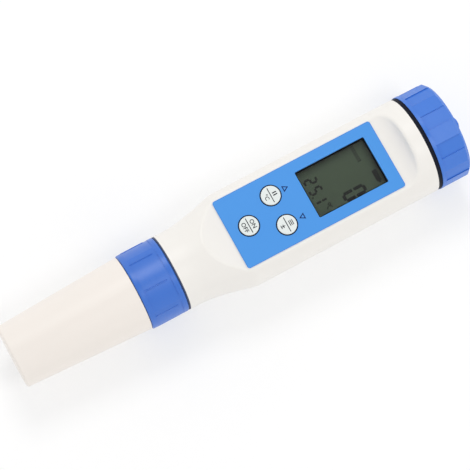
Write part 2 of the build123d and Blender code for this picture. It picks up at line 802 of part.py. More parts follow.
def front_contact():
    """Disc at the first cell with a tab to the board."""
    disc = rod(x_front_contact, x_cells, CONTACT_OD / 2)
    disc += block(x_front_contact, x_cells, CONTACT_WIDTH, 0, z_board_under)
    z_tab = z_board_under - CONTACT_THICKNESS
    return disc + block(x_board_end - CONTACT_WIDTH, x_cells, CONTACT_WIDTH, z_tab, z_board_under)


def rear_contact():
    """Strip from the last cell, under the trough, up to the board."""
    thick = CONTACT_THICKNESS
    x_rise = x_board_end - CONTACT_WIDTH - thick
    x_leaf = x_carrier_wall - thick
    z_low = z_return - thick
    strip = block(x_rise, x_carrier_wall, CONTACT_WIDTH, z_low, z_return)
    strip += block(x_rise, x_rise + thick, CONTACT_WIDTH, z_low, z_board_under)
    strip += block(x_leaf, x_carrier_wall, CONTACT_WIDTH, z_low, CONTACT_WIDTH / 2)
    return strip + rod(x_cells_end, x_leaf, CONTACT_WIDTH / 2)


def cells():
    """Row of button cells along the pen."""
    stack = []
    for index in range(CELL_COUNT):
        x_start = x_cells + index * CELL_THICKNESS
        cell = rod(x_start, x_start + CELL_THICKNESS, CELL_OD / 2)
        stack.append(chamfer(cell.edges().filter_by(GeomType.CIRCLE), CELL_EDGE))
    return stack


def carrier_screws():
    """Two small screws that hold the carrier to its bosses."""
    x_tip = x_carrier - SCREW_BOSS_LENGTH + SCREW_OD
    pieces = []
    for y, z in screw_places():
        shank = rod(x_tip, x_front_contact, SCREW_OD / 2, y, z)
        head = rod(x_front_contact, x_front_contact + SCREW_HEAD_HEIGHT, SCREW_HEAD_OD / 2, y, z)
        pieces.append(shank + head)
    return pieces


def battery_seal():
    """Black ring pinched between the housing's rear rim and the battery cap."""
    return tube(x_body_end, x_battery_cap, body_radius - O_RING_PINCH, rear_spigot_radius + SEAT_GAP)


def rib_section():
    """Many-sided section with every second side set back."""
    step = 360 / CAP_FACETS
    section = Rot(0, 0, CAP_FACET_PHASE) * RegularPolygon(cap_radius, CAP_FACETS)
    apothem = cap_radius * cos(pi / CAP_FACETS)
    width = 2 * cap_radius * cos(radians(90 - step / 2))
    for index in range(0, CAP_FACETS, 2):
        angle = CAP_FACET_PHASE + (index + 0.5) * step
        bar = Rectangle(2 * CAP_RECESS_DEPTH, width)
        section -= Rot(0, 0, angle) * Pos(apothem, 0) * bar
    return section


def battery_cap():
    """Ribbed screw cap with a blind threaded bore and a lanyard lug."""
    x_ribs = x_battery_cap + CAP_BAND
    skirt = turned([
        (x_battery_cap, 0),
        (x_battery_cap, cap_radius),
        (x_cap_end - CAP_END_CHAMFER, cap_radius),
        (x_cap_end, cap_radius - CAP_END_CHAMFER),
        (x_cap_end, 0),
    ])
    ribbed = extrude(Plane.YZ.offset(x_ribs) * rib_section(), x_cap_end - x_ribs)
    skirt -= rod(x_ribs, x_cap_end, cap_radius + LOOSE_GAP) - ribbed
    skirt -= rod(x_battery_cap, x_cap_floor, cap_bore_radius)
    return skirt + lug()


def lug():
    """Rounded tab on the cap's end with an eye for a wrist cord."""
    round_radius = LUG_WIDTH / 2
    x_centre = x_lug_end - round_radius
    outline = Pos(x_centre, 0) * Circle(round_radius)
    foot = Rectangle(x_centre - x_cap_end, LUG_WIDTH, align=(Align.MIN, Align.CENTER))
    outline += Pos(x_cap_end, 0) * foot
    tab = extrude(outline, LUG_THICKNESS / 2, both=True)
    tab &= block(x_cap_end, x_lug_end + LOOSE_GAP, LUG_WIDTH, -LUG_THICKNESS, LUG_THICKNESS)
    arc_edges = tab.edges().filter_by(GeomType.CIRCLE)
    tab = fillet(arc_edges, LUG_EDGE)
    x_eye = x_lug_end - LUG_RIM - LANYARD_HOLE / 2
    return tab - post(x_eye, 0, -LUG_THICKNESS, LUG_THICKNESS, LANYARD_HOLE / 2)


NODES = {
    "probe_cap": probe_cap,
    "cap_o_ring": cap_o_ring,
    "bulb_guard": bulb_guard,
    "electrode_body": electrode_body,
    "ph_glass": ph_glass,
    "silver_wire": silver_wire,
    "reference_junction": reference_junction,
    "temperature_probe": temperature_probe,
    "conductivity_pins": conductivity_pins,
    "plug_o_ring": plug_o_ring,
    "connector_pins": connector_pins,
    "collar_gasket": collar_gasket,
    "electrode_collar": electrode_collar,
    "neck_seal": neck_seal,
    "housing": housing,
    "connector_socket": connector_socket,
    "connector_board": connector_board,
    "flex_cable": flex_cable,
    "circuit_board": circuit_board,
    "switches": switches,
    "display_frame": display_frame,
    "display_glass": display_glass,
    "display_gasket": display_gasket,
    "contact_strips": contact_strips,
    "main_chip": main_chip,
    "radio_module": radio_module,
    "display_window": pane,
    "face_overlay": face_overlay,
    "button_seals": button_seals,
    "battery_carrier": battery_carrier,
    "carrier_screws": carrier_screws,
    "front_contact": front_contact,
    "rear_contact": rear_contact,
    "button_cells": cells,
    "battery_seal": battery_seal,
    "battery_cap": battery_cap,
}


def write(name, shape):
    """Write one node's solids, moved to the row's origin."""
    pieces = shape if isinstance(shape, list) else [shape]
    placed = Compound(children=[row_origin * piece for piece in pieces])
    export_step(placed, os.path.join("parts", name + ".step"))


os.makedirs("parts", exist_ok=True)
for node, make in NODES.items():
    write(node, make())
for node, (button_x, button_y) in BUTTON_PLACES.items():
    write(node, button(button_x, button_y))
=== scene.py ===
from math import ceil, cos, pi, radians, sin

import bmesh
import bpy
from mathutils import Matrix, Vector


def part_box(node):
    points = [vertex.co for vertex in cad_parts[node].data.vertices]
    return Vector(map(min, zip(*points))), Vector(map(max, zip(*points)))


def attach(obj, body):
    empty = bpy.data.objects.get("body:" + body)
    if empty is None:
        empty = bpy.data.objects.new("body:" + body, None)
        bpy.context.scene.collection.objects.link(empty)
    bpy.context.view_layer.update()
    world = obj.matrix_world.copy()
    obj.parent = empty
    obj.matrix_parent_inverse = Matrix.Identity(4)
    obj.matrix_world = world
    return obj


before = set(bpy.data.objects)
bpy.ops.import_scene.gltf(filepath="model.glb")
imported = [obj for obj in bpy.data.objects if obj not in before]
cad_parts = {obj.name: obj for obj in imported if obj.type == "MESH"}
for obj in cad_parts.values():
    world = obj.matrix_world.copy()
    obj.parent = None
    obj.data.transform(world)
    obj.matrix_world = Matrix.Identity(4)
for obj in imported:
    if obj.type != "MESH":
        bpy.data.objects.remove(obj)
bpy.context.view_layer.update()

MM = 0.001

# The photograph's camera, in the frame's metres
CAMERA_PLACE = Vector((-0.11428, -0.131006, 0.77432))
CAMERA_RIGHT = Vector((0.875011, -0.481759, 0.047215))
CAMERA_BACK = Vector((-0.14675, -0.171001, 0.974298))
CAMERA_LENS = 160.597
CAMERA_SENSOR = 36.0

# Printing
LETTER_WEIGHT = 0.015
LETTER_STEPS = 4
INK_THICKNESS = 0.02 * MM
INK_GAP = 0.004 * MM
DIVIDER_LENGTH = 5.9 * MM
DIVIDER_WIDTH = 0.3 * MM
KEY_LETTER_HEIGHT = 1.65 * MM
KEY_LETTER_OFFSET = 1.65 * MM
TRIANGLE_LENGTH = 2.2 * MM
TRIANGLE_WIDTH = 2.5 * MM
TRIANGLE_LINE = 0.34 * MM
TRIANGLE_OFFSET = 6.2 * MM


def linear(red, green, blue):
    """Linear colour from sRGB steps of 255."""
    channels = []
    for value in (red, green, blue):
        share = value / 255
        channels.append(share / 12.92 if share <= 0.04045 else ((share + 0.055) / 1.055) ** 2.4)
    return (*channels, 1.0)


def toned(colour, factor):
    """The colour made lighter or darker by a factor."""
    return (*[min(1.0, channel * factor) for channel in colour[:3]], 1.0)


class Look:
    """A procedural material on the object's own coordinates."""

    def __init__(self, name, colour, roughness, metallic=0.0, specular=0.5):
        self.material = bpy.data.materials.new(name)
        self.material.use_nodes = True
        self.material.diffuse_color = colour
        self.tree = self.material.node_tree
        self.shader = self.tree.nodes["Principled BSDF"]
        self.colour = colour
        self.roughness = roughness
        self.set("Base Color", colour)
        self.set("Roughness", roughness)
        self.set("Metallic", metallic)
        self.set("Specular IOR Level", specular)
        self.place = self.node("ShaderNodeTexCoord").outputs["Object"]
        self.height = None

    def set(self, socket, value):
        """Set one of the shader's own sockets."""
        self.shader.inputs[socket].default_value = value

    def node(self, kind, **values):
        """Add a node with its named properties."""
        made = self.tree.nodes.new(kind)
        for name, value in values.items():
            setattr(made, name, value)
        return made

    def join(self, source, target):
        """Link an output to an input, or put a number there."""
        if hasattr(source, "is_linked"):
            self.tree.links.new(source, target)
        else:
            target.default_value = source

    def math(self, operation, first, second=0.0, third=0.0):
        """One arithmetic step."""
        made = self.node("ShaderNodeMath", operation=operation)
        for value, socket in zip((first, second, third), made.inputs):
            self.join(value, socket)
        return made.outputs[0]

    def stretched(self, scale):
        """The object's coordinates scaled by a vector."""
        made = self.node("ShaderNodeVectorMath", operation="MULTIPLY")
        self.join(self.place, made.inputs[0])
        made.inputs[1].default_value = scale
        return made.outputs[0]

    def noise(self, scale, detail=2.0, stretch=(1.0, 1.0, 1.0)):
        """Noise with a number of features per metre."""
        made = self.node("ShaderNodeTexNoise")
        self.join(self.stretched(stretch), made.inputs["Vector"])
        made.inputs["Scale"].default_value = scale
        made.inputs["Detail"].default_value = detail
        return made.outputs["Fac"]

    def spread(self, value, low, high):
        """A 0 to 1 value mapped to a range."""
        made = self.node("ShaderNodeMapRange")
        self.join(value, made.inputs["Value"])
        made.inputs["To Min"].default_value = low
        made.inputs["To Max"].default_value = high
        return made.outputs["Result"]

    def band(self, value, start, end):
        """A smooth step from 0 at start to 1 at end."""
        made = self.node("ShaderNodeMapRange", interpolation_type="SMOOTHSTEP")
        self.join(value, made.inputs["Value"])
        made.inputs["From Min"].default_value = start
        made.inputs["From Max"].default_value = end
        return made.outputs["Result"]

    def blend(self, factor, first, second):
        """Two colours mixed by a factor."""
        made = self.node("ShaderNodeMix", data_type="RGBA")
        self.join(factor, made.inputs[0])
        self.join(first, made.inputs[6])
        self.join(second, made.inputs[7])
        return made.outputs[2]

    def mottle(self, share, scale=60.0, detail=3.0):
        """Vary the colour by a share up and down."""
        fac = self.noise(scale, detail)
        mixed = self.blend(fac, toned(self.colour, 1 - share), toned(self.colour, 1 + share))
        self.join(mixed, self.shader.inputs["Base Color"])
        return mixed

    def polish(self, share, scale=400.0, detail=2.0, stretch=(1.0, 1.0, 1.0)):
        """Vary the roughness by a share up and down."""
        low = self.roughness * (1 - share)
        high = self.roughness * (1 + share)
        level = self.spread(self.noise(scale, detail, stretch), low, high)
        self.join(level, self.shader.inputs["Roughness"])

    def raise_by(self, height, depth):
        """Add relief: a 0 to 1 height over a depth in metres."""
        bump = self.node("ShaderNodeBump")
        bump.inputs["Strength"].default_value = 1.0
        bump.inputs["Distance"].default_value = depth
        self.join(height, bump.inputs["Height"])
        if self.height is not None:
            self.join(self.height, bump.inputs["Normal"])
        self.height = bump.outputs["Normal"]
        self.join(self.height, self.shader.inputs["Normal"])

    def grain(self, scale, depth, detail=2.0, stretch=(1.0, 1.0, 1.0)):
        """Add a fine noise relief."""
        self.raise_by(self.noise(scale, detail, stretch), depth)


def moulded(name, colour, roughness, tone=0.012, grain_depth=0.004 * MM, specular=0.5):
    """Moulded plastic with a fine satin grain and a trace of flow."""
    look = Look(name, colour, roughness, specular=specular)
    look.mottle(tone)
    look.polish(0.12)
    look.grain(5200.0, grain_depth)
    look.grain(90.0, 0.02 * MM, detail=1.0)
    return look


def rubber(name, colour, roughness=0.62, specular=0.35):
    """Moulded rubber with a dull bloom."""
    look = Look(name, colour, roughness, specular=specular)
    look.mottle(0.2, 500.0)
    look.polish(0.15, 900.0)
    look.grain(7000.0, 0.01 * MM)
    return look


def metal(name, colour, roughness, stretch=(1.0, 1.0, 1.0), share=0.3):
    """Metal with fine drawn or rolled lines."""
    look = Look(name, colour, roughness, metallic=1.0)
    look.mottle(0.05, 700.0)
    look.polish(share, 2500.0, stretch=stretch)
    look.grain(4000.0, 0.003 * MM, stretch=stretch)
    return look


def clear(name, colour, roughness, ior):
    """Clear plastic or glass."""
    look = Look(name, colour, roughness, specular=0.5)
    look.set("Transmission Weight", 1.0)
    look.set("IOR", ior)
    look.polish(0.4, 300.0)
    return look


def shell_look():
    look = moulded("housing_plastic", linear(234, 231, 226), 0.42, tone=0.008)
    return look.material


def probe_cap_look():
    look = moulded("probe_cap_plastic", linear(235, 228, 221), 0.4, tone=0.01)
    return look.material


def collar_look():
    look = moulded("collar_plastic", linear(52, 108, 200), 0.36, tone=0.03)
    return look.material


def battery_cap_look():
    look = moulded("battery_cap_plastic", linear(56, 115, 208), 0.36, tone=0.03)
    return look.material


def film_look():
    """Printed film: even blue, with painted shade darkening it along its cut border."""
    low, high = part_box("face_overlay")
    look = moulded("film_print", linear(60, 143, 222), 0.46, tone=0.012, grain_depth=0.002 * MM)
    body = look.mottle(0.012, 150.0)
    split = look.node("ShaderNodeSeparateXYZ")
    look.join(look.place, split.inputs[0])
    insets = []
    for axis in (0, 1):
        middle = (low[axis] + high[axis]) / 2
        half = (high[axis] - low[axis]) / 2
        away = look.math("ABSOLUTE", look.math("SUBTRACT", split.outputs[axis], middle))
        insets.append(look.math("SUBTRACT", half, away))
    inset = look.math("MINIMUM", insets[0], insets[1])
    # Painted shade: within 0.35 mm of the film's border, up to 0.35 of the darker blue is mixed in.
    painted_edge_shade = look.band(inset, 0.35 * MM, 0.05 * MM)
    painted_edge_shade = look.math("MULTIPLY", painted_edge_shade, 0.35)
    look.join(look.blend(painted_edge_shade, body, linear(38, 92, 190)), look.shader.inputs["Base Color"])
    return look.material


def key_look():
    look = moulded("key_plastic", linear(222, 228, 226), 0.4, tone=0.01)
    return look.material


def seal_look():
    return rubber("seal_rubber", linear(14, 18, 34), specular=0.15).material


def key_ring_look():
    return rubber("key_ring_rubber", linear(10, 16, 44), 0.6, specular=0.1).material


def cell_glass_look():
    """Polarised liquid crystal cell: grey-green, with painted shade from the window's frame darkening
    it towards three of its edges.
    """
    low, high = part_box("display_window")
    look = Look("display_cell_glass", linear(74, 88, 70), 0.32, specular=0.1)
    body = look.mottle(0.05, 90.0)
    split = look.node("ShaderNodeSeparateXYZ")
    look.join(look.place, split.inputs[0])
    # Painted shade: darker bands along the far side and both ends of the cell, standing in for the
    # window frame's shadow.
    far_side = look.band(split.outputs[1], high[1] - 5.0 * MM, high[1] - 0.5 * MM)
    rear_end = look.band(split.outputs[0], high[0] - 4.5 * MM, high[0] - 0.5 * MM)
    front_end = look.band(split.outputs[0], low[0] + 3.0 * MM, low[0] + 0.5 * MM)
    painted_frame_shade = look.math("MAXIMUM", far_side, rear_end)
    painted_frame_shade = look.math("MAXIMUM", painted_frame_shade, look.math("MULTIPLY", front_end, 0.6))
    painted_frame_shade = look.math("MULTIPLY", painted_frame_shade, 0.75)
    look.join(look.blend(painted_frame_shade, body, linear(24, 30, 26)), look.shader.inputs["Base Color"])
    look.polish(0.1, 200.0)
    look.grain(6000.0, 0.001 * MM)
    return look.material


def window_look():
    look = clear("window_acrylic", (1.0, 1.0, 1.0, 1.0), 0.004, 1.3)
    look.set("Specular IOR Level", 0.15)
    return look.material


def board_look():
    """Solder mask over a grid of fine tracks."""
    look = Look("board_mask", linear(20, 92, 52), 0.34)
    tracks = look.node("ShaderNodeTexBrick")
    look.join(look.place, tracks.inputs["Vector"])
    tracks.inputs["Scale"].default_value = 260.0
    tracks.inputs["Mortar Size"].default_value = 0.03
    tracks.inputs["Color1"].default_value = linear(17, 84, 47)
    tracks.inputs["Color2"].default_value = linear(20, 92, 52)
    tracks.inputs["Mortar"].default_value = linear(60, 134, 84)
    look.join(tracks.outputs["Color"], look.shader.inputs["Base Color"])
    look.raise_by(tracks.outputs["Fac"], 0.03 * MM)
    look.grain(3000.0, 0.003 * MM)
    return look.material


def flex_look():
    """Amber film with copper tracks along it."""
    look = Look("flex_film", linear(196, 132, 44), 0.28)
    stripes = look.node("ShaderNodeTexWave", bands_direction="Y")
    look.join(look.place, stripes.inputs["Vector"])
    stripes.inputs["Scale"].default_value = 300.0
    line = look.band(stripes.outputs["Fac"], 0.45, 0.6)
    film_and_copper = look.blend(line, linear(196, 132, 44), linear(160, 84, 34))
    look.join(film_and_copper, look.shader.inputs["Base Color"])
    look.raise_by(line, 0.02 * MM)
    return look.material


def glass_bulb_look():
    look = clear("bulb_glass", linear(236, 246, 250), 0.015, 1.5)
    return look.material


def ceramic_look():
    look = Look("junction_ceramic", linear(240, 238, 232), 0.75, specular=0.2)
    look.mottle(0.06, 2500.0)
    look.grain(6500.0, 0.02 * MM, detail=4.0)
    return look.material


def strip_look():
    """Zebra strip: thin carbon layers in pink silicone."""
    look = Look("strip_silicone", linear(206, 180, 188), 0.5)
    layers = look.node("ShaderNodeTexWave", bands_direction="X")
    look.join(look.place, layers.inputs["Vector"])
    layers.inputs["Scale"].default_value = 900.0
    look.join(
        look.blend(layers.outputs["Fac"], linear(206, 180, 188), linear(58, 54, 58)),
        look.shader.inputs["Base Color"],
    )
    look.grain(4000.0, 0.004 * MM)
    return look.material


def ink_look(name, colour):
    """Screen-printed ink."""
    look = Look(name, colour, 0.5, specular=0.15)
    look.mottle(0.15, 1500.0)
    look.grain(9000.0, 0.002 * MM)
    return look.material


dark_plastic = moulded("dark_plastic", linear(46, 47, 50), 0.48, tone=0.05).material
component_black = moulded("component_epoxy", linear(34, 34, 36), 0.55, tone=0.06).material
frame_plastic = moulded("frame_plastic", linear(226, 226, 221), 0.5).material
seal_rubber = seal_look()
neck_rubber = rubber("neck_seal_rubber", linear(52, 64, 96), 0.5).material
steel = metal("drawn_steel", linear(188, 189, 192), 0.24, stretch=(0.05, 1.0, 1.0)).material
nickel = metal("nickel_strip", linear(204, 199, 188), 0.26, stretch=(0.1, 1.0, 1.0)).material
board_green = board_look()

NODE_LOOKS = {
    "probe_cap": probe_cap_look(),
    "housing": shell_look(),
    "electrode_collar": collar_look(),
    "battery_cap": battery_cap_look(),
    "face_overlay": film_look(),
    "button_seals": key_ring_look(),
    "neck_seal": neck_rubber,
    "battery_seal": seal_rubber,
    "cap_o_ring": seal_rubber,
    "plug_o_ring": seal_rubber,
    "collar_gasket": seal_rubber,
    "display_gasket": seal_rubber,
    "display_window": window_look(),
    "display_glass": cell_glass_look(),
    "electrode_body": dark_plastic,
    "bulb_guard": dark_plastic,
    "connector_socket": dark_plastic,
    "ph_glass": glass_bulb_look(),
    "silver_wire": metal("silver", linear(222, 220, 214), 0.2).material,
    "temperature_probe": steel,
    "conductivity_pins": steel,
    "carrier_screws": steel,
    "rear_contact": nickel,
    "front_contact": nickel,
    "button_cells": metal("cell_steel", linear(200, 201, 204), 0.2).material,
    "reference_junction": ceramic_look(),
    "connector_pins": metal("pin_gold", linear(231, 190, 98), 0.2).material,
    "connector_board": board_green,
    "circuit_board": board_green,
    "flex_cable": flex_look(),
    "switches": component_black,
    "main_chip": component_black,
    "radio_module": metal("shield_steel", linear(182, 183, 186), 0.34).material,
    "display_frame": frame_plastic,
    "battery_carrier": frame_plastic,
    "contact_strips": strip_look(),
}
key_plastic = key_look()
for key in ("power_button", "up_button", "down_button"):
    NODE_LOOKS[key] = key_plastic

for name, material in NODE_LOOKS.items():
    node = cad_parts[name]
    node.data.materials.clear()
    node.data.materials.append(material)


def new_piece(name, mesh, body, material):
    """Put a mesh in the scene, riding on a body."""
    piece = bpy.data.objects.new(name, mesh)
    bpy.context.scene.collection.objects.link(piece)
    mesh.materials.append(material)
    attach(piece, body)
    return piece


def plates(name, outlines, height, thickness=INK_THICKNESS):
    """Mesh of thin upright-sided plates from closed outlines of (x, y)."""
    points = []
    faces = []
    for outline in outlines:
        start = len(points)
        count = len(outline)
        points += [(x, y, height) for x, y in outline]
        points += [(x, y, height + thickness) for x, y in outline]
        faces.append([start + index for index in reversed(range(count))])
        faces.append([start + count + index for index in range(count)])
        for index in range(count):
            after = (index + 1) % count
            faces.append([start + index, start + after, start + count + after, start + count + index])
    mesh = bpy.data.meshes.new(name)
    mesh.from_pydata(points, [], faces)
    mesh.validate()
    return mesh


def on_face(centre, outline):
    """Outline of (right, up) as read by the user, placed on the face as (x, y)."""
    placed = [(centre[0] + up, centre[1] - right) for right, up in outline]
    return list(placed)


def bar(right, up, width, height):
    """Rectangle about a point, as (right, up) corners."""
    half_width = width / 2
    half_height = height / 2
    return [
        (right - half_width, up - half_height),
        (right + half_width, up - half_height),
        (right + half_width, up + half_height),
        (right - half_width, up + half_height),
    ]


def lettering(name, text, centre, cap_height, z, body, material):
    """Raised print of a short text that reads across the pen."""
    curve = bpy.data.curves.new(name + "_text", "FONT")
    curve.body = text
    curve.align_x = "CENTER"
    curve.offset = LETTER_WEIGHT
    curve.resolution_u = LETTER_STEPS
    holder = bpy.data.objects.new(name + "_text", curve)
    bpy.context.scene.collection.objects.link(holder)
    bpy.context.view_layer.update()
    mesh = bpy.data.meshes.new_from_object(holder.evaluated_get(bpy.context.evaluated_depsgraph_get()))
    bpy.data.objects.remove(holder)
    bpy.data.curves.remove(curve)
    lows = [min(vertex.co[axis] for vertex in mesh.vertices) for axis in (0, 1)]
    highs = [max(vertex.co[axis] for vertex in mesh.vertices) for axis in (0, 1)]
    scale = cap_height / (highs[1] - lows[1])
    middle = Vector(((lows[0] + highs[0]) / 2, (lows[1] + highs[1]) / 2, 0))
    turn = Matrix.Rotation(-pi / 2, 4, "Z")
    spot = Vector((centre[0], centre[1], z))
    mesh.transform(Matrix.Scale(scale, 4) @ Matrix.Translation(-middle))
    mesh.transform(Matrix.Translation(spot) @ turn)
    mesh.name = name
    return new_piece(name, mesh, body, material)


key_ink = ink_look("key_ink", linear(20, 22, 34))
film_ink = ink_look("film_ink", linear(14, 34, 92))
segment_ink = ink_look("segment_ink", linear(10, 14, 10))

KEYS = {
    "power": ("power_button", "power_key"),
    "up": ("up_button", "up_key"),
    "down": ("down_button", "down_key"),
}


def key_top(node):
    """Middle of a key's top in x and y, and its height."""
    low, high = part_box(node)
    return ((low[0] + high[0]) / 2, (low[1] + high[1]) / 2), high[2] + INK_GAP


def key_divider(label, node, body):
    centre, z = key_top(node)
    outline = on_face(centre, bar(0, 0, DIVIDER_LENGTH, DIVIDER_WIDTH))
    mesh = plates(label + "_divider", [outline], z)
    new_piece(label + "_divider", mesh, body, key_ink)


def key_marks(label, node, body, shapes, up):
    """Bars above or below the divider."""
    centre, z = key_top(node)
    outlines = []
    for right, lift, width, height in shapes:
        outlines.append(on_face(centre, bar(right, up + lift, width, height)))
    mesh = plates(label, outlines, z)
    new_piece(label, mesh, body, key_ink)


for label, (node, body) in KEYS.items():
    key_divider(label, node, body)

PAUSE_SPREAD = 0.45 * MM
PAUSE_WIDTH = 0.42 * MM
MENU_STEP = 0.62 * MM
MENU_WIDTH = 2.1 * MM
MENU_LINE = 0.27 * MM
PAUSE_BARS = [(side * PAUSE_SPREAD, 0, PAUSE_WIDTH, KEY_LETTER_HEIGHT) for side in (-1, 1)]
MENU_BARS = [(0, step * MENU_STEP, MENU_WIDTH, MENU_LINE) for step in (-1, 0, 1)]


def key_text(label, text, node, body, up):
    centre, z = key_top(node)
    lettering(label, text, (centre[0] + up, centre[1]), KEY_LETTER_HEIGHT, z, body, key_ink)


key_text("mark_on", "ON", "power_button", "power_key", KEY_LETTER_OFFSET)
key_text("mark_off", "OFF", "power_button", "power_key", -KEY_LETTER_OFFSET)
key_marks("mark_hold", "up_button", "up_key", PAUSE_BARS, KEY_LETTER_OFFSET)
key_text("mark_degrees", "°C", "up_button", "up_key", -KEY_LETTER_OFFSET)
key_marks("mark_menu", "down_button", "down_key", MENU_BARS, KEY_LETTER_OFFSET)
key_text("mark_adjust", "±", "down_button", "down_key", -KEY_LETTER_OFFSET)


def triangle(name, node, up):
    """Outlined arrow on the film beside a key, pointing up or down."""
    centre, _ = key_top(node)
    spot = (centre[0] + TRIANGLE_OFFSET, centre[1])
    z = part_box("face_overlay")[1][2] + INK_GAP
    half = TRIANGLE_WIDTH / 2
    tip = up * TRIANGLE_LENGTH / 2
    outer = [(-half, -tip), (half, -tip), (0, tip)]
    middle = Vector((0, -up * TRIANGLE_LENGTH / 6))
    radius = TRIANGLE_LENGTH / 3
    share = 1 - TRIANGLE_LINE / radius
    inner = [tuple(middle + (Vector(corner) - middle) * share) for corner in outer]
    strips = []
    for index in range(3):
        after = (index + 1) % 3
        strips.append(on_face(spot, [outer[index], outer[after], inner[after], inner[index]]))
    mesh = plates(name, strips, z)
    new_piece(name, mesh, "housing", film_ink)


triangle("mark_up", "up_button", 1)
triangle("mark_down", "down_button", -1)

SEGMENTS = {
    "a": ((0, 1), (1, 1)),
    "b": ((1, 1), (1, 0.5)),
    "c": ((1, 0.5), (1, 0)),
    "d": ((0, 0), (1, 0)),
    "e": ((0, 0.5), (0, 0)),
    "f": ((0, 1), (0, 0.5)),
    "g": ((0, 0.5), (1, 0.5)),
}
DIGITS = {"0": "abcdef", "1": "bc", "2": "abged", "5": "afgcd", "C": "afed", "°": "abgf"}
SEGMENT_BREAK = 0.16
SEGMENT_NOSE = 0.22
display_low, display_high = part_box("display_window")
display_centre = ((display_low[0] + display_high[0]) / 2, (display_low[1] + display_high[1]) / 2)
display_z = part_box("display_glass")[1][2] + INK_GAP


def segment(start, end, stroke):
    """Bar with pointed ends between two (right, up) points."""
    start = Vector(start)
    end = Vector(end)
    along = (end - start).normalized()
    side = Vector((-along.y, along.x)) * stroke / 2
    start = start + along * stroke * SEGMENT_BREAK
    end = end - along * stroke * SEGMENT_BREAK
    nose = along * stroke * SEGMENT_NOSE
    first = start + nose
    last = end - nose
    corners = [start, first - side, last - side, end, last + side, first + side]
    return [tuple(corner) for corner in corners]


def digit_outlines(digit, right, up, width, height, stroke):
    """Lit segments of a digit whose lower left corner is at (right, up)."""
    outlines = []
    for name in DIGITS[digit]:
        ends = [(right + a * width, up + b * height) for a, b in SEGMENTS[name]]
        outlines.append(on_face(display_centre, segment(*ends, stroke)))
    return outlines


def display_marks(name, outlines):
    mesh = plates(name, outlines, display_z)
    new_piece(name, mesh, "housing", segment_ink)


# Sizes and places of the figures, from the middle of the display
SMALL_WIDTH = 1.9 * MM
SMALL_HEIGHT = 4.6 * MM
SMALL_STROKE = 0.85 * MM
SMALL_UP = -12.8 * MM
SMALL_DIGITS = (("2", -5.25 * MM), ("5", -1.3 * MM), ("1", 2.2 * MM))
POINT_RIGHT = 1.6 * MM
POINT_SIZE = 0.65 * MM
UNIT_WIDTH = 0.85 * MM
UNIT_HEIGHT = 1.85 * MM
UNIT_STROKE = 0.42 * MM
UNIT_UP = -9.9 * MM
UNIT_SIGNS = (("°", 5.95 * MM), ("C", 7.15 * MM))
BIG_WIDTH = 2.7 * MM
BIG_HEIGHT = 8.35 * MM
BIG_STROKE = 1.2 * MM
BIG_RIGHT = 5.78 * MM
BIG_UP = -2.45 * MM

small_row = []
for digit, right in SMALL_DIGITS:
    small_row += digit_outlines(digit, right, SMALL_UP, SMALL_WIDTH, SMALL_HEIGHT, SMALL_STROKE)
small_row.append(on_face(display_centre, bar(POINT_RIGHT, SMALL_UP, POINT_SIZE, POINT_SIZE)))
display_marks("display_temperature", small_row)
big_digit = digit_outlines("0", BIG_RIGHT, BIG_UP, BIG_WIDTH, BIG_HEIGHT, BIG_STROKE)
display_marks("display_reading", big_digit)
unit_marks = []
for sign, right in UNIT_SIGNS:
    unit_marks += digit_outlines(sign, right, UNIT_UP, UNIT_WIDTH, UNIT_HEIGHT, UNIT_STROKE)
display_marks("display_unit", unit_marks)

# Battery symbol and bar graph at the top of the display, as (right, up, width, height)
BATTERY_BODY = (5.1 * MM, 12.2 * MM, 4.6 * MM, 1.9 * MM)
BATTERY_TIP = (7.7 * MM, 12.2 * MM, 0.6 * MM, 0.9 * MM)
GRAPH_BARS = 8
GRAPH_START = -8.6
GRAPH_STEP = 0.85
GRAPH_UP = 9.3 * MM
GRAPH_BAR_WIDTH = 0.5 * MM
GRAPH_BAR_HEIGHT = 1.5 * MM

battery_bars = [bar(*BATTERY_BODY), bar(*BATTERY_TIP)]
display_marks("display_battery", [on_face(display_centre, outline) for outline in battery_bars])
graph_marks = []
for index in range(GRAPH_BARS):
    right = (GRAPH_START + GRAPH_STEP * index) * MM
    outline = bar(right, GRAPH_UP, GRAPH_BAR_WIDTH, GRAPH_BAR_HEIGHT)
    graph_marks.append(on_face(display_centre, outline))
display_marks("display_graph", graph_marks)


# Screw threads, which the solids leave out
THREAD_PITCH = 2.0 * MM
THREAD_RISE = 0.45 * MM
THREAD_ROOT = 0.9 * MM
THREAD_CREST = 0.35 * MM
THREAD_STEPS = 72
THREAD_FADE = 0.15
THREAD_SINK = 0.1
NOSE_RADIUS = 13.3 * MM
REAR_RADIUS = 17.0 * MM
THREAD_ROOM = 0.58 * MM
THREAD_INSET = 0.8 * MM
pen_axis_height = sum(corner[2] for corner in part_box("battery_cap")) / 2


